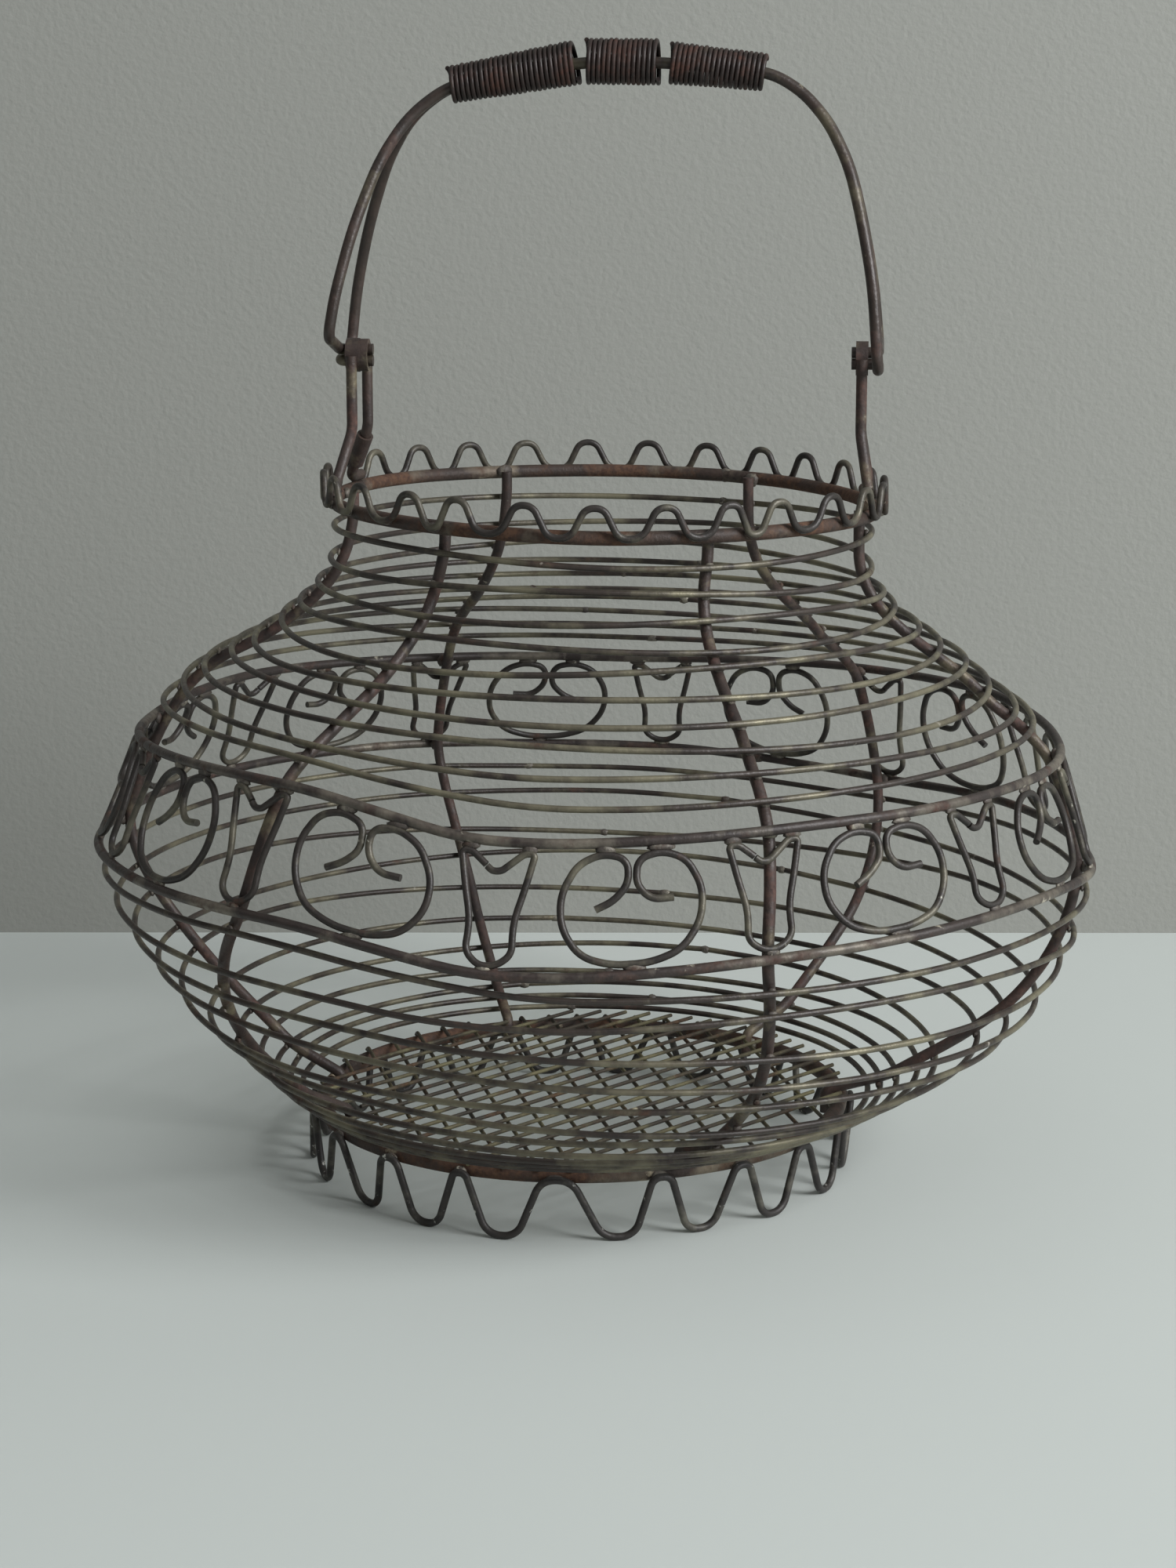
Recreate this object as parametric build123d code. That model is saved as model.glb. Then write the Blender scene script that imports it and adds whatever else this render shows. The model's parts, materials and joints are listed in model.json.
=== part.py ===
from build123d import *
import os
from math import acos, cos, degrees, hypot, pi, radians, sin, sqrt, tan

os.makedirs("parts", exist_ok=True)

# Wire radii
rim_wire = 2.0
base_wire = 2.35
band_wire = 1.4
rib_wire = 1.65
ring_wire = 0.9
hump_wire = 1.0
foot_wire = 1.1
scroll_wire = 1.0
tulip_wire = 0.95
net_wire = 0.6
lug_wire = 1.6
bail_wire = 1.65
# Gaps that keep neighbouring wires apart
touch = 0.12
ornament_gap = 0.45
rib_gap = 0.45
scallop_gap = 0.3

# Heights of the main hoops above the table
base_height = 18.5
lower_band_height = 98.0
upper_band_height = 131.5
rim_height = 202.5

# Wall of the basket as (height, radius) of the thin rings' centre line
wall_outline = [
    (18.5, 79.6), (22.0, 85.6), (27.2, 94.6), (35.0, 104.5), (43.0, 114.8), (52.0, 125.2),
    (61.0, 133.1), (70.0, 139.3), (80.0, 144.9), (90.0, 148.1), (98.0, 149.1), (115.0, 144.6),
    (131.5, 137.6), (143.0, 128.9), (150.5, 120.1), (156.5, 112.3), (161.5, 104.0), (167.0, 96.2),
    (173.0, 89.1), (179.5, 83.3), (187.0, 80.0), (195.0, 79.9), (202.5, 80.1),
]
# The old basket has sagged sideways: (height, shift along X)
wall_shift = [
    (18.5, -4.0), (27.2, -2.2), (43.0, -1.0), (60.0, 1.2), (98.0, 0.2), (131.5, 1.6),
    (150.0, 1.0), (175.0, 1.2), (202.5, 2.9),
]
# It has also sagged unevenly: rise of each level as (angle, mm)
rim_sag = [
    (0, -1.7), (30, -1.2), (60, -0.1), (90, 0.4), (120, 0.7), (150, 1.6),
    (180, 1.2), (210, 1.7), (240, 1.2), (270, -0.1), (300, -0.1), (330, -0.4),
]
neck_sag = [(0, -1.2), (45, -0.8), (90, 0.0), (135, 0.8), (180, 1.2), (225, 0.8), (270, 0.0), (315, -0.8)]
shoulder_sag = [
    (0, -4.1), (30, -3.5), (60, -2.0), (90, 0.0), (120, 2.0), (150, 3.5),
    (180, 4.1), (210, 3.5), (240, 2.0), (270, 0.0), (300, -2.0), (330, -3.5),
]
upper_band_sag = [
    (0, -1.5), (30, 2.5), (60, 1.8), (90, -0.2), (120, 2.2), (150, 4.8), (180, 3.0), (205, 6.0),
    (215, 7.3), (238, 8.7), (250, 4.0), (261, -1.9), (270, -2.0), (300, 0.8), (330, 0.5), (350, -0.8),
]
lower_band_sag = [
    (0, -3.0), (30, -1.5), (55, -4.0), (85, 0.6), (105, 1.7), (120, 4.0), (150, 4.8), (180, 4.0),
    (205, 7.0), (228, 7.4), (238, 7.8), (247, 6.7), (256, 1.7), (263, -1.3), (272, -1.4),
    (295, 2.4), (320, 4.0), (338, 3.6), (350, -0.5),
]
belly_sag = [
    (0, -6.2), (30, -5.4), (60, -3.1), (90, 0.0), (120, 3.1), (150, 5.4),
    (180, 6.2), (210, 5.4), (240, 3.1), (270, 0.0), (300, -3.1), (330, -5.4),
]
low_belly_sag = [
    (0, -4.6), (30, -4.0), (60, -2.3), (90, 0.0), (120, 2.3), (150, 4.0),
    (180, 4.6), (210, 4.0), (240, 2.3), (270, 0.0), (300, -2.3), (330, -4.0),
]
base_sag = [
    (0, 0.0), (30, -0.6), (60, -1.1), (90, -1.4), (120, -1.4), (150, -1.2),
    (180, -0.7), (210, -0.1), (240, 0.4), (270, 0.7), (300, 0.7), (330, 0.5),
]
sag_levels = [
    (18.5, base_sag), (43.0, low_belly_sag), (60.0, belly_sag), (98.0, lower_band_sag),
    (131.5, upper_band_sag), (150.0, shoulder_sag), (160.0, neck_sag), (187.0, neck_sag),
    (202.5, rim_sag),
]

# Hoops: the cut ends of each wire meet at the back with a hair gap, no two in one line
hoop_joint_first = 66.0
hoop_joint_step = 17.0
hoop_joint_span = 44.0
hoop_joint_gap = 0.3
hoop_corners = 24
band_corners = 36

# Ribs: angle at the belly, and how far each is turned at the rim and at the base
rib_angles = [-2.0, 54.0, 117.0, 178.0, 234.0, 293.0]
rib_top_turn = [-2.0, 4.0, 2.0, 0.0, 5.0, 4.0]
rib_base_turn = [0.0, -4.0, -3.0, 0.0, -26.0, 4.0]
rib_heights = [
    187, 179.5, 173, 167, 161.5, 156.5, 150.5, 143, 131.5, 115, 98, 84, 70, 56, 43, 33, 27.2,
]

# Thin rings as (height, two-fold bow, its turn, three-fold bow, its turn)
neck_rings = [
    (195.0, 0.8, 20, 0.5, 0), (186.3, 1.0, 70, 0.6, 40), (178.8, 0.8, 100, 0.9, 80),
    (173.0, 0.7, 30, 0.6, 10), (167.6, 0.8, 150, 0.8, 60), (162.0, 0.8, 0, 0.7, 30),
    (157.2, 0.7, 10, 0.5, 90), (152.0, 0.8, 10, 0.5, 20), (146.0, 0.9, 0, 0.6, 60),
    (140.3, 0.9, 10, 0.7, 100),
]
belly_rings = [
    (90.5, 1.2, 50, 0.9, 10), (81.0, 1.3, 110, 1.0, 70), (71.5, 1.2, 20, 1.2, 30),
    (62.0, 1.2, 70, 1.0, 90), (53.0, 1.1, 140, 1.0, 50), (44.5, 1.0, 30, 0.8, 0),
    (37.5, 0.7, 80, 0.6, 60), (31.8, 0.5, 10, 0.4, 20), (28.0, 0.3, 60, 0.3, 80),
    (25.2, 0.2, 120, 0.2, 40), (22.9, 0.1, 30, 0.1, 10),
]

# Ornaments between the bands: tulips, with an apple scroll between each two
tulip_angles = [-7, 23, 53, 86, 118, 149, 178, 206, 234, 264, 293, 322]
apple_width = 39.5
tulip_top_width = 21.0

# Scallops: angle of each hump on the rim and of each loop under the base
rim_hump_height = 8.7
rim_hump_angles = [
    5.5, 19, 32, 45.5, 58, 71.5, 85, 98.5, 112.5, 126, 139.5, 153.5, 166.5, 179.5,
    192, 205, 218.5, 234, 245.5, 259.5, 273, 286.5, 299.5, 310.5, 325, 339, 352,
]
foot_loop_angles = [
    14, 32, 50, 68, 86, 104, 122, 140, 157, 173, 189, 205.5, 223.5, 242, 259.5, 281.5,
    300.5, 318, 336, 355,
]
foot_flat = 0.06

# Netting in the base: direction and pitch of each lay
net_lays = {"base_net_lower_lay": (108.0, 9.25), "base_net_upper_lay": (52.0, 6.95)}
net_edge = 71.0
net_rib_window = 2.5
net_gap = 0.25

# Lugs and bail; the swing axis runs along X through both eyes
eye_height = 245.7
eye_bore = 3.45
left_eye = -70.6
right_eye = 78.7
# Flat bars wrapped round the pegs, as (place along X from the eye, width, outer radius)
left_bars = [(-1.35, 3.8, 5.0), (1.9, 2.7, 4.8)]
right_bars = [(0.0, 3.6, 5.0)]
leg_offset = 4.65
leg_knee_drop = 22.0
leg_knee_bend = 8.0
lug_half_spread = 14.0
lug_foot_length = 9.0
sleeve_radius = 2.5
sleeve_length = 11.0
sleeve_from_foot = 6.0
peg_lift = bail_wire + 0.03
peg_stub = 1.3
left_foot = left_eye - 5.4
right_foot = right_eye + 4.7
bail_spread = 21.0
grip_half_gap = bail_wire + 0.03
# Front bail wire above its feet as (x, distance from the swing plane, height)
bail_arch = [
    (-74.0, 20.5, 264.0), (-69.2, 15.5, 283.5), (-62.0, 8.5, 303.0), (-53.8, 3.2, 315.6),
    (-42.0, grip_half_gap, 324.2), (-4.0, grip_half_gap, 330.7), (20.4, grip_half_gap, 330.5),
    (51.5, grip_half_gap, 327.4), (60.5, 1.9, 322.0), (68.0, 4.5, 313.5), (74.2, 9.0, 301.0),
    (78.0, 14.0, 286.0), (81.5, 19.0, 268.0),
]
# Rise of the bail feet from the pegs to the arch, front and back wire
left_foot_rise = {1: 5.0, -1: 2.5}
right_foot_rise = {1: -0.5, -1: 2.5}
grip_radii = {"left": (5.6, 6.7), "middle": (6.9, 6.8), "right": (6.3, 5.6)}
grip_coil_wire = 0.85
grip_ends = {
    "left": ((-43.0, 324.0), (-4.6, 330.6)),
    "middle": ((-3.2, 330.8), (19.4, 330.6)),
    "right": ((21.2, 330.4), (50.0, 327.6)),
}


def lookup(table, height):
    """Value of a (height, value) list at one height, straight between its points."""
    height = min(max(height, table[0][0]), table[-1][0])
    for (low, first), (high, second) in zip(table, table[1:]):
        if height <= high:
            break
    return first + (second - first) * (height - low) / (high - low)


def wall_point(angle, height, out=0.0):
    """Point on the wall, or out mm along its outward normal."""
    step = 2.0
    climb = lookup(wall_outline, height + step) - lookup(wall_outline, height - step)
    slant = hypot(climb, 2 * step)
    radius = lookup(wall_outline, height) + out * 2 * step / slant
    return tilted_point(angle, radius, height, -out * climb / slant)


def tilted_point(angle, radius, height, lift=0.0):
    """Point at a radius, lift mm above a height, moved with the sag of the old basket there."""
    x = lookup(wall_shift, height) + radius * cos(radians(angle))
    y = radius * sin(radians(angle))
    return Vector(x, y, height + lift + rise(angle, height))


def rise(angle, height):
    """How far the sagged basket stands above a nominal height."""
    levels = [(level, lookup_angle(table, angle)) for level, table in sag_levels]
    return lookup(levels, height)


def lookup_angle(table, angle):
    """Value of an (angle, value) list at one angle, going round past 360."""
    closed = table + [(table[0][0] + 360.0, table[0][1])]
    return lookup(closed, (angle - table[0][0]) % 360.0 + table[0][0])


def bent_path(points, radii=None):
    """Straight runs through the points, joined by tangent arcs as large as the runs allow."""
    edges = []
    start = points[0]
    for index in range(1, len(points) - 1):
        before = points[index] - points[index - 1]
        after = points[index + 1] - points[index]
        half_turn = before.get_angle(after) / 2
        if half_turn < 0.05:
            continue
        reach = 0.45 * min(before.length, after.length)
        if radii and index in radii:
            reach = radii[index] * tan(radians(half_turn))
        radius = reach / tan(radians(half_turn))
        inward = (after.normalized() - before.normalized()).normalized()
        first = points[index] - before.normalized() * reach
        last = points[index] + after.normalized() * reach
        middle = points[index] + inward * (radius / cos(radians(half_turn)) - radius)
        edges.append(Edge.make_line(start, first))
        edges.append(Edge.make_three_point_arc(first, middle, last))
        start = last
    edges.append(Edge.make_line(start, points[-1]))
    return Wire(edges)


def bent_wire(points, wire, radii=None):
    """Round wire swept along a bent path."""
    path = bent_path(points, radii)
    section = Plane(origin=path @ 0, z_dir=path % 0) * Circle(wire)
    return sweep(section, path=path)


def hoop_angles(order, corners):
    """Corner angles of a hoop, from one cut end round to the other; order staggers the ends."""
    joint = hoop_joint_first + hoop_joint_step * order % hoop_joint_span
    step = (360.0 - hoop_joint_gap) / corners
    return [joint + hoop_joint_gap / 2 + step * i for i in range(corners + 1)]


def round_out(radius, corners):
    """Extra radius at a hoop's corners, so that its runs reach the true radius."""
    return radius / cos(pi / corners) - radius


def hoop_corner_points(height, order, corners, place):
    """(angle, corner point) round a hoop; place gives the true point at one angle."""
    beyond = round_out(lookup(wall_outline, height), corners)
    angles = hoop_angles(order, corners)
    points = [place(angle) + radial(angle) * beyond for angle in angles]
    points[0] = place(angles[0])
    points[-1] = place(angles[-1])
    return list(zip(angles, points))


def thick_hoop(height, wire, order):
    """Thick hoop at one level of the wall."""
    radius = lookup(wall_outline, height)

    def place(angle):
        return tilted_point(angle, radius, height)

    return bent_wire([point for _, point in hoop_corner_points(height, order, hoop_corners, place)], wire)


def thin_ring(height, order, bow, bow_turn, ripple, ripple_turn):
    """Thin hoop on the wall, bent up and down by hand."""

    def place(angle):
        lift = bow * cos(radians(2 * (angle - bow_turn)))
        lift += ripple * cos(radians(3 * (angle - ripple_turn)))
        return wall_point(angle, height + lift)

    points = [point for _, point in hoop_corner_points(height, order, hoop_corners, place)]
    return bent_wire(points, ring_wire)


def band_corner_points(height, order):
    """(angle, corner point) round a band, whose inside is in line with the thin rings' inside."""

    def place(angle):
        return wall_point(angle, height, band_wire - ring_wire)

    return hoop_corner_points(height, order, band_corners, place)


def band(corner_points):
    """Band hoop through its corners."""
    return bent_wire([point for _, point in corner_points], band_wire)


def on_band(corner_points, angle):
    """Point on a band at any angle, straight between its corners."""
    first = corner_points[0][0]
    return lookup(corner_points, (angle - first) % 360.0 + first)


def radial(angle):
    """Unit vector away from the middle of the basket."""
    return Vector(cos(radians(angle)), sin(radians(angle)), 0)


def rib_angle(number, height):
    """Angle of a rib at one height; its ends are turned from the belly."""
    turn = [
        (base_height, rib_base_turn[number]), (lower_band_height, 0.0), (rim_height, rib_top_turn[number]),
    ]
    return rib_angles[number] + lookup(turn, height)


def rib(number):
    """Upright rib, butted inside the rim at the top and hooked over the base ring."""
    inside = rib_wire + ring_wire + rib_gap
    past_rim = rim_wire + rib_wire + rib_gap
    past_base = base_wire + rib_wire + touch
    rim_radius = lookup(wall_outline, rim_height) - past_rim
    base_radius = lookup(wall_outline, base_height) - past_base
    top = rib_angle(number, rim_height)
    foot = rib_angle(number, base_height)
    points = [
        tilted_point(top, rim_radius, rim_height, 0.5),
        tilted_point(top, rim_radius, rim_height, -6.0),
    ]
    for height in rib_heights:
        points.append(wall_point(rib_angle(number, height), height, -inside))
    points.append(tilted_point(foot, base_radius, base_height, past_base))
    points.append(tilted_point(foot, base_radius, base_height, -3.0))
    return bent_wire(points, rib_wire, {len(points) - 2: past_base - 0.6})


def spacing(angles, index):
    """Mean distance in degrees from one scallop to its two neighbours."""
    after = angles[(index + 1) % len(angles)]
    before = angles[index - 1]
    return (after - before) % 360.0 / 2


def rim_scallop():
    """Thin wire in upright humps, its troughs on the outside of the rim."""
    radius = lookup(wall_outline, rim_height) + rim_wire + hump_wire + scallop_gap
    shape = [(-0.34, 0.4), (-0.13, rim_hump_height), (0.13, rim_hump_height), (0.34, 0.0)]
    points = []
    for index, middle in enumerate(rim_hump_angles):
        pitch = spacing(rim_hump_angles, index)
        for share, lift in shape:
            points.append(tilted_point(middle + pitch * share, radius, rim_height, lift))
    end = rim_hump_angles[0] - 0.36 * spacing(rim_hump_angles, 0)
    points.append(tilted_point(end, radius, rim_height))
    return bent_wire(points, hump_wire)


def foot_scallop():
    """Wire in hanging loops that carry the basket, worn flat where they stand."""
    radius = lookup(wall_outline, base_height) + base_wire + foot_wire + scallop_gap
    standing = foot_wire - foot_flat
    points = []
    for index, middle in enumerate(foot_loop_angles):
        pitch = spacing(foot_loop_angles, index)
        skew = 0.05 * sin(2.2 * index)
        inward = 1.2 + 1.0 * sin(1.7 * index)
        for share, low in [(-0.40, False), (-0.15 + skew, True), (0.17 + skew, True), (0.39, False)]:
            angle = middle + pitch * share
            place = tilted_point(angle, radius, base_height, -0.5)
            if low:
                place = place - radial(angle) * inward
                place = Vector(place.X, place.Y, standing)
            points.append(place)
    end = foot_loop_angles[0] - 0.42 * spacing(foot_loop_angles, 0)
    points.append(tilted_point(end, radius, base_height, -0.5))
    wire = bent_wire(points, foot_wire)
    below_table = Pos(0, 0, -5) * Box(400, 400, 10)
    return wire - below_table


def band_distance(angle):
    """Distance between the two bands' centre lines at one angle."""
    return (on_band(upper_band, angle) - on_band(lower_band, angle)).length


def ornament(angle, outline, wire):
    """Wire bent through (across, up) points on the wall between the bands."""
    reach = band_distance(angle)
    points = []
    for across, up in outline:
        here = angle + degrees(across / lookup(wall_outline, lower_band_height))
        low = on_band(lower_band, here)
        high = on_band(upper_band, here)
        points.append(low + (high - low) * (up / reach))
    return bent_wire(points, wire)


def apple_scroll(angle, number):
    """Round loop with two lobes at the top, whose ends curl outwards inside it."""
    low = band_wire + scroll_wire + ornament_gap
    high = band_distance(angle) - low - 0.4
    tall = high - low
    half = apple_width / 2 * (1 + 0.04 * sin(2.6 * number))
    drop = 1.0 + 0.5 * sin(1.9 * number)
    left = [
        (-0.52, high - 0.47 * tall - drop), (-0.27, high - 0.42 * tall), (-0.055, high - 0.27 * tall),
        (-0.07, high - 0.04 * tall), (-0.44, high + 0.02 * tall), (-0.80, high - 0.07 * tall),
        (-1.03, high - 0.34 * tall), (-1.00, low + 0.36 * tall), (-0.72, low + 0.10 * tall),
        (-0.27, low),
    ]
    right = [(-u, v) for u, v in reversed(left)]
    right[-1] = (0.60, high - 0.42 * tall + 0.3 * drop)
    outline = [(half * u, v) for u, v in left + right]
    return ornament(angle, outline, scroll_wire)


def tulip(angle):
    """Closed loop, wide and dipped at the top, narrow and round at the bottom."""
    reach = band_distance(angle)
    low = band_wire + tulip_wire + ornament_gap
    high = reach - low
    half = tulip_top_width / 2
    dip = high - 5.0
    outline = [
        (-0.30 * half, dip + 1.6), (-0.72 * half, high), (-1.00 * half, high),
        (-0.80 * half, 0.66 * reach), (-0.56 * half, 0.40 * reach), (-0.60 * half, low + 3.0),
        (-0.22 * half, low), (0.22 * half, low), (0.60 * half, low + 3.0),
        (0.56 * half, 0.40 * reach), (0.80 * half, 0.66 * reach), (1.00 * half, high),
        (0.72 * half, high), (0.12 * half, dip), (-0.12 * half, dip), (-0.27 * half, dip + 1.2),
    ]
    return ornament(angle, outline, tulip_wire)


def net_wire_end(foot, along, side, level, turned_down):
    """End of a net wire over the base ring, or short where a rib is in the way."""
    base_radius = lookup(wall_outline, base_height)
    middle = Vector(lookup(wall_shift, base_height), 0, 0)

    def angle_at(radius):
        place = foot + along * (side * sqrt(radius ** 2 - foot.length ** 2))
        angle = degrees(acos(place.X / radius))
        return angle if place.Y > 0 else 360 - angle

    def point(radius, height):
        angle = angle_at(radius)
        return middle + radial(angle) * radius + Vector(0, 0, height + rise(angle, base_height))

    for number in range(len(rib_angles)):
        rib_foot = rib_angle(number, base_height)
        apart = [(angle_at(base_radius + out) - rib_foot + 180) % 360 - 180 for out in (-6.0, 0.9)]
        if min(apart) - net_rib_window < 0 < max(apart) + net_rib_window:
            return [point(base_radius - 7.5, level)]
    if turned_down:
        return [point(base_radius + 0.9, level), point(base_radius + 2.8, base_height + 1.9)]
    return [point(base_radius + 0.9, level)]


def net_lay(direction, pitch, level, turned_down):
    """One lay of straight, parallel net wires."""
    along = radial(direction)
    across = radial(direction + 90)
    count = int(net_edge / pitch)
    wires = []
    for step in range(-count, count + 1):
        foot = across * (step * pitch + 0.25 * pitch)
        if foot.length > net_edge:
            continue
        first = net_wire_end(foot, along, -1, level, turned_down)
        last = net_wire_end(foot, along, 1, level, turned_down)
        wires.append(bent_wire(first[::-1] + last, net_wire))
    return Compound(children=wires)


def leg_points(eye, bars, near):
    """One leg of a lug from its eye down to its foot along the rim. near is 1 in front, -1 behind."""
    rim_radius = lookup(wall_outline, rim_height)
    stand = rim_wire + lug_wire + touch
    facing = 180.0 if eye < 0 else 0.0
    forward = near if eye < 0 else -near
    x = eye + (bars[0] if near > 0 else bars[-1])[0]

    def on_rim(distance):
        turn = forward * degrees(distance / rim_radius)
        return tilted_point(facing + turn, rim_radius, rim_height) + Vector(0, 0, stand)

    return [
        Vector(x, -near * leg_offset, eye_height),
        Vector(x, -near * leg_offset, eye_height - leg_knee_drop),
        on_rim(lug_half_spread),
        on_rim(lug_half_spread + lug_foot_length),
    ]


def lug(eye, bars):
    """Two legs from the rim, joined by the flat bars wrapped round the bail pegs."""
    body = bent_wire(leg_points(eye, bars, 1), lug_wire, {1: leg_knee_bend})
    body += bent_wire(leg_points(eye, bars, -1), lug_wire, {1: leg_knee_bend})
    for along, width, outer in bars:
        plane = Plane(origin=(eye + along - width / 2, 0, eye_height), z_dir=(1, 0, 0))
        body += Solid.make_cylinder(outer, width, plane)
    long_bore = 30.0
    plane = Plane(origin=(eye - long_bore / 2, 0, eye_height), z_dir=(1, 0, 0))
    return body - Solid.make_cylinder(eye_bore, long_bore, plane)


def lug_sleeve():
    """Crimped sleeve on the far leg of the left lug."""
    points = leg_points(left_eye, left_bars, -1)
    along = (points[1] - points[2]).normalized()
    plane = Plane(origin=points[2] + along * sleeve_from_foot, z_dir=along)
    body = extrude(plane * Circle(sleeve_radius), sleeve_length)
    bore = extrude(plane * Circle(lug_wire + touch), sleeve_length)
    return body - bore


def bail_strand(near):
    """One bail wire: peg, foot, arch, foot, peg. near is 1 in front, -1 behind."""
    left_peg = eye_height + near * peg_lift
    right_peg = eye_height - near * peg_lift
    left_end = left_eye + left_bars[-1][0] + left_bars[-1][1] / 2 + peg_stub
    right_end = right_eye - right_bars[0][1] / 2 - peg_stub
    profile = [
        (left_end, 0.0, left_peg),
        (left_foot, 0.0, left_peg),
        (left_foot, bail_spread, left_peg + left_foot_rise[near]),
    ]
    profile += bail_arch
    profile += [
        (right_foot, bail_spread, right_peg + right_foot_rise[near]),
        (right_foot, 0.0, right_peg),
        (right_end, 0.0, right_peg),
    ]
    points = [Vector(x, -near * y, z) for x, y, z in profile]
    last = len(points) - 1
    tight = bail_wire + 0.15
    return bent_wire(points, bail_wire, {1: tight, 2: 4.5, last - 2: 4.5, last - 1: tight})


def grip_coil(section):
    """Outer shape of one close-wound coil, hollow for the two bail wires."""
    (x1, z1), (x2, z2) = grip_ends[section]
    first, second = grip_radii[section]
    start = Vector(x1, 0, z1)
    along = Vector(x2 - x1, 0, z2 - z1)
    plane = Plane(origin=start, z_dir=along.normalized())
    wall = 2 * grip_coil_wire
    outer = Solid.make_cone(first, second, along.length, plane)
    inner = Solid.make_cone(first - wall, second - wall, along.length, plane)
    return outer - inner


def save(name, shape):
    """Write one node's STEP file."""
    export_step(shape, f"parts/{name}.step")
    print(name, round(shape.volume, 1))


save("rim_ring", thick_hoop(rim_height, rim_wire, 0))
save("base_ring", thick_hoop(base_height, base_wire, 1))
upper_band = band_corner_points(upper_band_height, 2)
lower_band = band_corner_points(lower_band_height, 3)
save("upper_band_ring", band(upper_band))
save("lower_band_ring", band(lower_band))
for number in range(len(rib_angles)):
    save(f"rib_{number + 1}", rib(number))
for number, (height, *bends) in enumerate(neck_rings):
    save(f"neck_ring_{number + 1}", thin_ring(height, number, *bends))
for number, (height, *bends) in enumerate(belly_rings):
    save(f"belly_ring_{number + 1}", thin_ring(height, number + len(neck_rings), *bends))
save("rim_scallop", rim_scallop())
save("foot_scallop", foot_scallop())
for number, angle in enumerate(tulip_angles):
    following = (tulip_angles + [tulip_angles[0] + 360])[number + 1]
    save(f"apple_scroll_{number + 1}", apple_scroll((angle + following) / 2, number))
save("rib_tulips", Compound(children=[tulip(angle) for angle in tulip_angles[0::2]]))
save("bay_tulips", Compound(children=[tulip(angle) for angle in tulip_angles[1::2]]))
net_level = base_height + base_wire + net_wire + net_gap
for name, (direction, pitch) in net_lays.items():
    save(name, net_lay(direction, pitch, net_level, "lower" in name))
    net_level += 2 * net_wire + net_gap
save("left_lug", lug(left_eye, left_bars))
save("right_lug", lug(right_eye, right_bars))
save("left_lug_sleeve", lug_sleeve())
save("bail_front_wire", bail_strand(1))
save("bail_back_wire", bail_strand(-1))
for section in grip_ends:
    save(f"grip_coil_{section}", grip_coil(section))
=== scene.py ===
import json
import math
import random
import bmesh
import bpy
from mathutils import Matrix, Vector, noise
from mathutils.bvhtree import BVHTree


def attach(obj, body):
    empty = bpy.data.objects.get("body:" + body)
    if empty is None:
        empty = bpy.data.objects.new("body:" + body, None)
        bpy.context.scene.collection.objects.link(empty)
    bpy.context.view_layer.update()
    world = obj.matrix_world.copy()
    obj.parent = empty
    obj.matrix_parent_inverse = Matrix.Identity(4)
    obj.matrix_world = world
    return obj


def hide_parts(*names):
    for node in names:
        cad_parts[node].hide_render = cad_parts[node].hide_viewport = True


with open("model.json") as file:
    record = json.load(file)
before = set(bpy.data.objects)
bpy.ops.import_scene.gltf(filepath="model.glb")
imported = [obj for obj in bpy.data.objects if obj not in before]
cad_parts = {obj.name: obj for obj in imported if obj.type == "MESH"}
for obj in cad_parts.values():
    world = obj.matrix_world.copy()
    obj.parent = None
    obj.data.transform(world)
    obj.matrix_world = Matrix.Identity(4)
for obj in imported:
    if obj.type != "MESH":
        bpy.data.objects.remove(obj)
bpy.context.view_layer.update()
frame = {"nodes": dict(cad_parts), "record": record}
nodes = frame["nodes"]
mm = 0.001
print("frame loaded with", len(nodes), "nodes")


def toLinear(hexColour):  # sRGB hex to the linear colour a shader takes
    parts = [int(hexColour[i:i + 2], 16) / 255 for i in (1, 3, 5)]
    linear = [c / 12.92 if c <= 0.04045 else ((c + 0.055) / 1.055) ** 2.4 for c in parts]
    return (*linear, 1.0)


def addNode(tree, kind, settings=None, links=None):  # one node with its settings and links
    node = tree.nodes.new(kind)
    for key, value in (settings or {}).items():
        if isinstance(key, str) and key in node.bl_rna.properties:
            setattr(node, key, value)
        else:
            node.inputs[key].default_value = value
    for socket, source in (links or {}).items():
        tree.links.new(source, node.inputs[socket])
    return node


def newMaterial(name):
    material = bpy.data.materials.new(name)
    material.use_nodes = True
    material.node_tree.nodes.clear()
    return material, material.node_tree


def perMetre(sizeInMm):  # noise scale whose blotches are about this wide
    return 1000.0 / sizeInMm


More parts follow.
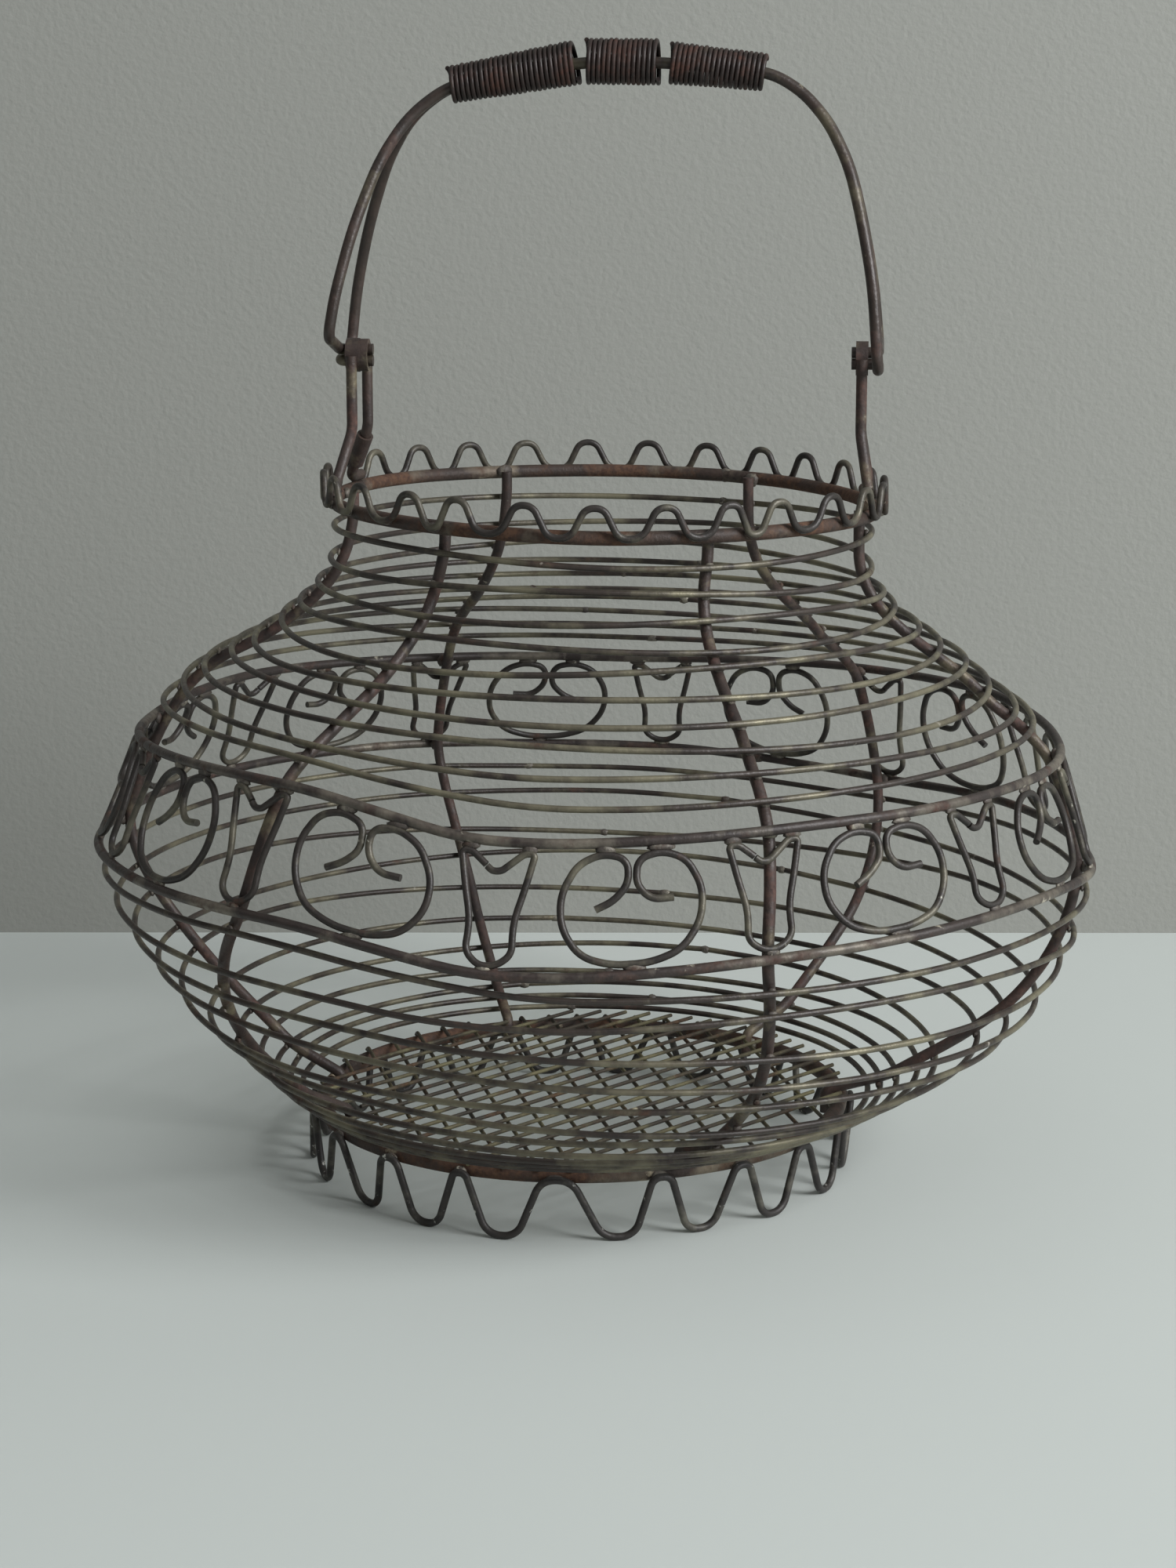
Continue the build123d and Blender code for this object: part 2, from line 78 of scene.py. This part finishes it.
# patina and deep: the two browns of oiled, oxidised iron; skin: what is left of the tin dip
# rust, rustDark: dry rust; crust: pale solder flux and lime; amounts are shares of the surface
finishes = {
    "oxidisedTinnedWire": {  # dull, nearly black brown where the tin has gone, olive grey where some is left
        "patina": "#3a312b", "deep": "#29231f", "skin": "#78735f", "rust": "#533d31", "rustDark": "#352924",
        "crust": "#a5a095", "skinAmount": 0.38, "rustAmount": 0.12, "crustAmount": 0.02,
        "skinSize": 26.0, "rustSize": 11.0, "crustSize": 9.0, "roughness": 0.44, "grain": 0.16,
    },
    "brownPatinaIron": {  # bare iron rod handled to a purplish brown, dry rust in its hollows
        "patina": "#41342e", "deep": "#2a2220", "skin": "#7f765f", "rust": "#5a423a", "rustDark": "#3c2d29",
        "crust": "#aaa391", "skinAmount": 0.24, "rustAmount": 0.36, "crustAmount": 0.03,
        "skinSize": 16.0, "rustSize": 14.0, "crustSize": 8.0, "roughness": 0.50, "grain": 0.22,
    },
    "rustedHoopIron": {  # thick hoops: matt brown rust broken by pale tan patches of old flux
        "patina": "#41322a", "deep": "#2d2420", "skin": "#817666", "rust": "#5e4433", "rustDark": "#432f26",
        "crust": "#a59a83", "skinAmount": 0.26, "rustAmount": 0.44, "crustAmount": 0.10,
        "skinSize": 22.0, "rustSize": 16.0, "crustSize": 12.0, "roughness": 0.60, "grain": 0.30,
    },
    "solderedBandWire": {  # bands: dark brown with a dull sheen and grey solder smears
        "patina": "#382f2b", "deep": "#28211f", "skin": "#7b7468", "rust": "#533f37", "rustDark": "#382a25",
        "crust": "#b3ad9c", "skinAmount": 0.30, "rustAmount": 0.26, "crustAmount": 0.06,
        "skinSize": 24.0, "rustSize": 12.0, "crustSize": 7.0, "roughness": 0.48, "grain": 0.18,
    },
    "blackenedScrollWire": {  # scrolls: thin blackened wire, hardly any rust
        "patina": "#322c28", "deep": "#231f1c", "skin": "#6c6859", "rust": "#543d31", "rustDark": "#342620",
        "crust": "#b9b7a9", "skinAmount": 0.30, "rustAmount": 0.14, "crustAmount": 0.03,
        "skinSize": 20.0, "rustSize": 10.0, "crustSize": 5.0, "roughness": 0.46, "grain": 0.14,
    },
    "limeFleckedLoopWire": {  # foot loops: dark grey, with the whitish flecks of a limewashed floor
        "patina": "#35312e", "deep": "#272423", "skin": "#6b685e", "rust": "#4d3c33", "rustDark": "#332923",
        "crust": "#cfcfc6", "skinAmount": 0.30, "rustAmount": 0.12, "crustAmount": 0.13,
        "skinSize": 16.0, "rustSize": 9.0, "crustSize": 3.0, "roughness": 0.50, "grain": 0.16,
    },
    "oliveNettingWire": {  # netting: soft wire gone olive brown and dull
        "patina": "#3b3328", "deep": "#2a251c", "skin": "#6e694e", "rust": "#584330", "rustDark": "#36291d",
        "crust": "#938d77", "skinAmount": 0.38, "rustAmount": 0.26, "crustAmount": 0.02,
        "skinSize": 20.0, "rustSize": 12.0, "crustSize": 7.0, "roughness": 0.58, "grain": 0.14,
    },
    "handPolishedBailIron": {  # bail: iron rod rubbed smooth by hands, with a low sheen
        "patina": "#3c312b", "deep": "#29221e", "skin": "#7d7660", "rust": "#544039", "rustDark": "#382b27",
        "crust": "#a59e86", "skinAmount": 0.26, "rustAmount": 0.22, "crustAmount": 0.03,
        "skinSize": 30.0, "rustSize": 14.0, "crustSize": 9.0, "roughness": 0.42, "grain": 0.16,
    },
    "darkWoundGripWire": {  # grip: wound wire, nearly black with a purplish cast and small sharp lights
        "patina": "#2b1d19", "deep": "#1d1512", "skin": "#52483d", "rust": "#472c23", "rustDark": "#2f1f19",
        "crust": "#7b7366", "skinAmount": 0.14, "rustAmount": 0.30, "crustAmount": 0.01,
        "skinSize": 14.0, "rustSize": 9.0, "crustSize": 6.0, "roughness": 0.48, "grain": 0.10,
    },
    "dullLeadSolder": {  # solder: soft grey lumps under brown grime
        "patina": "#57504a", "deep": "#3c3631", "skin": "#8d887b", "rust": "#57443a", "rustDark": "#3b2d26",
        "crust": "#b5b0a1", "skinAmount": 0.36, "rustAmount": 0.30, "crustAmount": 0.10,
        "skinSize": 6.0, "rustSize": 5.0, "crustSize": 3.0, "roughness": 0.55, "grain": 0.25,
    },
}


noiseSpread = 0.42  # noise values bunch round a half, so shares are scaled by this
# size in mm and share covered where the finish doesn't say, a seed, and how soft the edge is
masks = {
    "brown": {"size": 7.0, "amount": 0.5, "seed": 1.0, "softness": 0.30},
    "skin": {"seed": 3.0, "softness": 0.16},
    "rustShade": {"size": 1.6, "amount": 0.5, "seed": 5.0, "softness": 0.25},
    "rust": {"seed": 7.0, "softness": 0.12},
    "crust": {"seed": 9.0, "softness": 0.06},
}
wear = {  # dry rust is rough, tin dip is metallic; grain and dents in mm
    "rustRoughness": 0.86, "bareMetallic": 0.10, "skinMetallic": 0.42,
    "grainSize": 0.9, "grainStrength": 0.7, "dentSize": 3.5, "dentStrength": 0.35, "dentDepth": 0.5,
}


def blotches(tree, where, name, look):  # mask of random blotches covering a share
    mask = masks[name]
    size = mask.get("size") or look[name + "Size"]
    amount = mask.get("amount") or look[name + "Amount"]
    spots = addNode(tree, "ShaderNodeTexNoise",
                    {"noise_dimensions": "4D", "W": mask["seed"], "Scale": perMetre(size),
                     "Detail": 5.0, "Roughness": 0.62},
                    {"Vector": where})
    edge = 0.5 + (0.5 - amount) * noiseSpread
    ramp = addNode(tree, "ShaderNodeMapRange",
                   {"From Min": edge - mask["softness"] / 2, "From Max": edge + mask["softness"] / 2},
                   {"Value": spots.outputs[0]})
    return ramp.outputs[0]


def agedWire(name, look):  # brown iron under the rest of its tin dip, with dry rust and pale flux in blotches
    material, tree = newMaterial(name)
    where = addNode(tree, "ShaderNodeTexCoord").outputs["Object"]
    browns = addNode(tree, "ShaderNodeMix",
                     {"data_type": "RGBA", 6: toLinear(look["patina"]), 7: toLinear(look["deep"])},
                     {0: blotches(tree, where, "brown", look)})
    skinMask = blotches(tree, where, "skin", look)
    skinned = addNode(tree, "ShaderNodeMix", {"data_type": "RGBA", 7: toLinear(look["skin"])},
                      {0: skinMask, 6: browns.outputs[2]})
    rusts = addNode(tree, "ShaderNodeMix",
                    {"data_type": "RGBA", 6: toLinear(look["rust"]), 7: toLinear(look["rustDark"])},
                    {0: blotches(tree, where, "rustShade", look)})
    rustMask = blotches(tree, where, "rust", look)
    rusted = addNode(tree, "ShaderNodeMix", {"data_type": "RGBA"},
                     {0: rustMask, 6: skinned.outputs[2], 7: rusts.outputs[2]})
    crusted = addNode(tree, "ShaderNodeMix", {"data_type": "RGBA", 7: toLinear(look["crust"])},
                      {0: blotches(tree, where, "crust", look), 6: rusted.outputs[2]})
    rough = addNode(tree, "ShaderNodeMapRange",
                    {"To Min": look["roughness"], "To Max": wear["rustRoughness"]}, {"Value": rustMask})
    metal = addNode(tree, "ShaderNodeMapRange",
                    {"To Min": wear["bareMetallic"], "To Max": wear["skinMetallic"]}, {"Value": skinMask})
    grain = addNode(tree, "ShaderNodeTexNoise",
                    {"Scale": perMetre(wear["grainSize"]), "Detail": 3.0, "Roughness": 0.6},
                    {"Vector": where})
    dents = addNode(tree, "ShaderNodeTexNoise",
                    {"Scale": perMetre(wear["dentSize"]), "Detail": 2.0}, {"Vector": where})
    dented = addNode(tree, "ShaderNodeBump",
                     {"Strength": wear["dentStrength"], "Distance": wear["dentDepth"] * mm},
                     {"Height": dents.outputs[0]})
    bump = addNode(tree, "ShaderNodeBump",
                   {"Strength": wear["grainStrength"], "Distance": look["grain"] * mm},
                   {"Height": grain.outputs[0], "Normal": dented.outputs[0]})
    shader = addNode(tree, "ShaderNodeBsdfPrincipled", {},
                     {"Base Color": crusted.outputs[2], "Roughness": rough.outputs[0],
                      "Metallic": metal.outputs[0], "Normal": bump.outputs[0]})
    addNode(tree, "ShaderNodeOutputMaterial", {}, {"Surface": shader.outputs[0]})
    return material


madeFinishes = {name: agedWire(name, look) for name, look in finishes.items()}
print("finishes made:", len(madeFinishes))

# which finish each record slot wears
finishOfSlot = {
    "hoop_iron": "rustedHoopIron", "band_iron": "solderedBandWire", "rib_iron": "brownPatinaIron",
    "thin_wire": "oxidisedTinnedWire",
    "scroll_wire": "blackenedScrollWire", "scallop_wire": "blackenedScrollWire",
    "net_wire": "oliveNettingWire", "lug_iron": "brownPatinaIron",
    "grip_wire": "darkWoundGripWire", "bail_iron": "handPolishedBailIron",
}
finishOfNode = {"foot_scallop": "limeFleckedLoopWire"}
slotOfNode = {part["node"]: part["material_slot"] for part in frame["record"]["subparts"]}


def dress(piece, finish):
    piece.data.materials.clear()
    piece.data.materials.append(madeFinishes[finish])


for nodeName, node in nodes.items():
    dress(node, finishOfNode.get(nodeName, finishOfSlot[slotOfNode[nodeName]]))
print("nodes dressed")


# one row for each kind of joint: the wires soldered, the ones they meet, the widest gap bridged,
# the least distance between two lumps, and a lump's half length and half thickness, all in mm
solder = {
    "seed": 5, "sides": 8, "rings": 5, "sizeSpread": 0.2,
    "roughen": 0.22, "roughScale": 1.3, "roughShift": 900, "pressedFlat": 0.70,
    "clearOfTable": 3.0, "sampleEvery": 1.6, "splitRounds": 6, "mergeWithin": 0.001,
    # half thickness over each hoop's cut ends, how much longer that lump is, and how far inwards it sits
    "hoopEnds": {
        "neck_ring": 1.3, "belly_ring": 1.3, "upper_band": 1.8, "lower_band": 1.8,
        "rim_ring": 2.4, "base_ring": 2.7,
    },
    "endLength": 1.7, "endInward": 0.35, "sharpAngle": 1.2,  # radians, the edge of a cut end
    "joints": [
        {"wires": "rib_", "onto": ("neck_ring", "belly_ring"),
         "gap": 1.3, "apart": 3.5, "half": (1.5, 1.1)},
        {"wires": "rib_", "onto": ("upper_band", "lower_band", "rim_ring", "base_ring"),
         "gap": 1.3, "apart": 9.0, "half": (2.6, 1.9)},
        {"wires": "apple_", "onto": ("upper_band", "lower_band"),
         "gap": 1.5, "apart": 11.0, "half": (3.2, 1.3)},
        {"wires": "rib_tulips", "onto": ("upper_band", "lower_band"),
         "gap": 1.5, "apart": 7.0, "half": (2.6, 1.3)},
        {"wires": "bay_tulips", "onto": ("upper_band", "lower_band"),
         "gap": 1.5, "apart": 7.0, "half": (2.6, 1.3)},
        {"wires": "rim_scallop", "onto": ("rim_ring",),
         "gap": 1.2, "apart": 8.0, "half": (2.6, 1.3)},
        {"wires": "foot_scallop", "onto": ("base_ring",),
         "gap": 1.2, "apart": 8.0, "half": (2.6, 1.4)},
    ],
}


def splitFinely(piece, longest):  # a copy of a piece's mesh with no edge longer than longest
    bm = bmesh.new()
    bm.from_mesh(piece.data)
    for _ in range(solder["splitRounds"]):  # each round halves the long edges
        longEdges = [edge for edge in bm.edges if edge.calc_length() > longest]
        if not longEdges:
            break
        bmesh.ops.subdivide_edges(bm, edges=longEdges, cuts=1)
    return bm


def meetings(wires, onto, gap, apart):  # places where the wires pass others closely, closest first
    found = []
    joined = bmesh.new()
    for name, node in nodes.items():
        if name.startswith(onto):
            joined.from_mesh(node.data)
    target = BVHTree.FromBMesh(joined)
    joined.free()
    for name, node in nodes.items():
        if not name.startswith(wires) or (wires == "rib_" and name == "rib_tulips"):
            continue
        fine = splitFinely(node, solder["sampleEvery"] * mm)
        for vert in fine.verts:
            near, _, _, distance = target.find_nearest(vert.co, gap * mm)
            if near is not None:
                found.append((distance, tuple((vert.co + near) / 2)))
        fine.free()
    kept = []
    for _, place in sorted(found):
        place = Vector(place)
        if all((place - other).length > apart * mm for other in kept):
            kept.append(place)
    return kept


def cutEnds(hoop):  # middle of the sharp edges round a hoop's two cut ends
    bm = bmesh.new()
    bm.from_mesh(hoop.data)
    bmesh.ops.remove_doubles(bm, verts=bm.verts, dist=solder["mergeWithin"] * mm)
    sharp = [e for e in bm.edges if e.is_manifold and e.calc_face_angle() > solder["sharpAngle"]]
    ends = {v for e in sharp for v in e.verts}
    corners = [v.co.copy() for v in bm.verts if v in ends]  # in the mesh's own order, the same each run
    bm.free()
    return sum(corners, Vector()) / len(corners) if corners else None


def addLump(bm, place, half, draw):  # a flattened blob, long along the hoop it sits on
    spread = solder["sizeSpread"]
    length, thickness = [h * mm * draw.uniform(1 - spread, 1 + spread) for h in half]
    made = bmesh.ops.create_uvsphere(bm, u_segments=solder["sides"], v_segments=solder["rings"], radius=1.0)
    ball = made["verts"]
    outward = math.atan2(place.y, place.x)
    for vert in ball:
        spot = vert.co * solder["roughScale"] + place * solder["roughShift"]
        vert.co *= 1 + solder["roughen"] * noise.noise(spot)
    bmesh.ops.scale(bm, vec=(thickness * solder["pressedFlat"], length, thickness), verts=ball)
    bmesh.ops.rotate(bm, cent=(0, 0, 0), matrix=Matrix.Rotation(outward, 3, "Z"), verts=ball)
    bmesh.ops.translate(bm, vec=place, verts=ball)


def pieceFrom(bm, name):  # a smooth-shaded object whose faces point outwards
    bmesh.ops.recalc_face_normals(bm, faces=bm.faces)
    mesh = bpy.data.meshes.new(name)
    bm.to_mesh(mesh)
    bm.free()
    mesh.polygons.foreach_set("use_smooth", [True] * len(mesh.polygons))
    piece = bpy.data.objects.new(name, mesh)
    bpy.context.scene.collection.objects.link(piece)
    return piece


solderDraw = random.Random(solder["seed"])
lumps = bmesh.new()
lumpCount = 0
for joint in solder["joints"]:
    for place in meetings(joint["wires"], joint["onto"], joint["gap"], joint["apart"]):
        if place.z > solder["clearOfTable"] * mm:
            addLump(lumps, place, joint["half"], solderDraw)
            lumpCount += 1
for name, node in nodes.items():
    for start, thickness in solder["hoopEnds"].items():
        place = cutEnds(node) if name.startswith(start) else None
        if place is not None:
            inward = Vector((place.x, place.y, 0)).normalized() * -solder["endInward"] * mm
            addLump(lumps, place + inward, (solder["endLength"] * thickness, thickness), solderDraw)
            lumpCount += 1
solderPiece = pieceFrom(lumps, "solderJoints")
dress(solderPiece, "dullLeadSolder")
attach(solderPiece, "basket")
print("solder lumps:", lumpCount)


grip = {  # wire radius and how much its turns wander in and out, in mm
    "wire": 0.72, "wobble": 0.14, "pointsPerTurn": 20, "roundness": 2, "seed": 11,
    "coils": {  # start and end in x and z, outer radius at each end, turns
        "left": {"from": (-43.0, 324.0), "to": (-4.6, 330.6), "radii": (5.6, 6.7), "turns": 25.6},
        "middle": {"from": (-3.2, 330.8), "to": (19.4, 330.6), "radii": (6.9, 6.8), "turns": 14.6},
        "right": {"from": (21.2, 330.4), "to": (50.0, 327.6), "radii": (6.3, 5.6), "turns": 19.1},
    },
}


def woundCoil(name, coil):  # close turns of wire on a slim cone
    draw = random.Random(grip["seed"] + len(name))
    first = Vector((coil["from"][0], 0, coil["from"][1])) * mm
    last = Vector((coil["to"][0], 0, coil["to"][1])) * mm
    along = (last - first).normalized()
    aside = Vector((0, 1, 0))
    upward = aside.cross(along) * -1
    first += along * grip["wire"] * mm
    last -= along * grip["wire"] * mm
    count = int(coil["turns"] * grip["pointsPerTurn"])
    wobbles = [draw.uniform(-1, 1) * grip["wobble"] for _ in range(int(coil["turns"]) + 3)]
    curve = bpy.data.curves.new(name, "CURVE")
    curve.dimensions = "3D"
    curve.bevel_depth = grip["wire"] * mm
    curve.bevel_resolution = grip["roundness"]
    curve.use_fill_caps = True
    spline = curve.splines.new("POLY")
    spline.points.add(count)
    for i in range(count + 1):
        share = i / count
        turn = share * coil["turns"]
        low = int(turn)
        wobble = wobbles[low] + (wobbles[low + 1] - wobbles[low]) * (turn - low)
        radius = coil["radii"][0] + (coil["radii"][1] - coil["radii"][0]) * share
        radius = (radius - grip["wire"] - grip["wobble"] + wobble) * mm
        angle = turn * 2 * math.pi
        point = first.lerp(last, share) + (upward * math.cos(angle) + aside * math.sin(angle)) * radius
        spline.points[i].co = (*point, 1)
    holder = bpy.data.objects.new(name + "Curve", curve)
    bpy.context.scene.collection.objects.link(holder)
    mesh = bpy.data.meshes.new_from_object(holder.evaluated_get(bpy.context.evaluated_depsgraph_get()))
    bpy.data.objects.remove(holder)
    return mesh


for side, coil in grip["coils"].items():
    coilPiece = bpy.data.objects.new("woundGrip" + side.capitalize(), woundCoil("woundGrip" + side, coil))
    bpy.context.scene.collection.objects.link(coilPiece)
    coilPiece.data.polygons.foreach_set("use_smooth", [True] * len(coilPiece.data.polygons))
    dress(coilPiece, "darkWoundGripWire")
    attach(coilPiece, "bail")
    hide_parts("grip_coil_" + side)
print("grip coils wound")


room = {  # distances in mm, turned a few degrees from the basket's own axes; grains are size and depth
    "turn": 5.0, "halfWidth": 2600.0, "tableFront": 1500.0, "wallBehind": 267.0,
    "wallFoot": -400.0, "wallHeight": 2200.0,
    "table": "#c3c9c5", "tableGrain": (5.0, 0.05), "wall": "#92938d", "wallGrain": (2.2, 0.5),
    "paintRoughness": 0.75, "grainStrength": 0.5,
}


def stagePlane(name, corners, material):
    turned = Matrix.Rotation(math.radians(room["turn"]), 3, "Z")
    bm = bmesh.new()
    bm.faces.new([bm.verts.new(turned @ Vector(c) * mm) for c in corners])
    mesh = bpy.data.meshes.new(name)
    bm.to_mesh(mesh)
    bm.free()
    plane = bpy.data.objects.new(name, mesh)
    bpy.context.scene.collection.objects.link(plane)
    plane.data.materials.append(material)
    return plane


def paintedSurface(name, colour, grainSize, depth, oneSided):  # matt paint with a fine roller grain
    material, tree = newMaterial(name)
    where = addNode(tree, "ShaderNodeTexCoord").outputs["Object"]
    grain = addNode(tree, "ShaderNodeTexNoise",
                    {"Scale": perMetre(grainSize), "Detail": 2.0}, {"Vector": where})
    bump = addNode(tree, "ShaderNodeBump",
                   {"Strength": room["grainStrength"], "Distance": depth * mm}, {"Height": grain.outputs[0]})
    shader = addNode(tree, "ShaderNodeBsdfPrincipled",
                     {"Base Color": toLinear(colour), "Roughness": room["paintRoughness"]},
                     {"Normal": bump.outputs[0]})
    surface = shader.outputs[0]
    if oneSided:  # the wall isn't there when seen from its back
        fromBack = addNode(tree, "ShaderNodeNewGeometry").outputs["Backfacing"]
        clear = addNode(tree, "ShaderNodeBsdfTransparent")
        mixed = addNode(tree, "ShaderNodeMixShader", {}, {0: fromBack, 1: surface, 2: clear.outputs[0]})
        surface = mixed.outputs[0]
    addNode(tree, "ShaderNodeOutputMaterial", {}, {"Surface": surface})
    return material


half, back, front = room["halfWidth"], room["wallBehind"], -room["tableFront"]
foot, top = room["wallFoot"], room["wallHeight"]
stagePlane("tableTop", [(-half, front, 0), (half, front, 0), (half, back, 0), (-half, back, 0)],
           paintedSurface("paleTablePaint", room["table"], *room["tableGrain"], False))
stagePlane("wallBehindTable",
           [(-half, back, foot), (half, back, foot), (half, back, top), (-half, back, top)],
           paintedSurface("greyWallPaint", room["wall"], *room["wallGrain"], True))

eye = {  # distances in mm, angles in degrees; focal is the focal length for a picture this tall
    "distance": 956.0, "height": 320.5, "turn": 5.0, "pitch": 12.04, "yaw": -0.12,
    "focal": 4105.0, "tall": 2000.0, "sensor": 36.0, "nearest": 50.0, "farthest": 20000.0,
}
camera = bpy.data.objects.new("camera", bpy.data.cameras.new("camera"))
bpy.context.scene.collection.objects.link(camera)
camera.data.sensor_width = eye["sensor"]
camera.data.lens = eye["sensor"] * eye["focal"] / eye["tall"]
camera.data.clip_start = eye["nearest"] * mm
camera.data.clip_end = eye["farthest"] * mm
turn = math.radians(eye["turn"])
ahead = Vector((-math.sin(turn), math.cos(turn), 0)) * eye["distance"]
camera.location = (Vector((0, 0, eye["height"])) - ahead) * mm
camera.rotation_euler = (math.radians(90 - eye["pitch"]), 0, turn - math.radians(eye["yaw"]))
bpy.context.scene.camera = camera

lights = {  # place in mm, size in metres, power in watts
    "windowRight": {"at": (2100, -1150, 1450), "size": (1.2, 1.4), "power": 92.0, "colour": "#fcfdff"},
    "ceilingFill": {"at": (-300, -700, 2000), "size": (2.4, 2.4), "power": 8.0, "colour": "#fcfdff"},
}
lightAim = Vector((0, 0, 0.12))  # the middle of the basket
for lightName, light in lights.items():
    data = bpy.data.lights.new(lightName, "AREA")
    data.shape = "RECTANGLE"
    data.size, data.size_y = light["size"]
    data.energy = light["power"]
    data.color = toLinear(light["colour"])[:3]
    lamp = bpy.data.objects.new(lightName, data)
    bpy.context.scene.collection.objects.link(lamp)
    lamp.location = Vector(light["at"]) * mm
    lamp.rotation_euler = (lightAim - lamp.location).to_track_quat("-Z", "Y").to_euler()
    lamp.visible_camera = False

daylight = {"colour": "#ced0d1", "strength": 0.26}
world = bpy.data.worlds.new("room")
bpy.context.scene.world = world
world.use_nodes = True
background = world.node_tree.nodes["Background"]
background.inputs["Color"].default_value = toLinear(daylight["colour"])
background.inputs["Strength"].default_value = daylight["strength"]
bpy.context.scene.view_settings.view_transform = "Standard"
print("stage, camera and lights set")
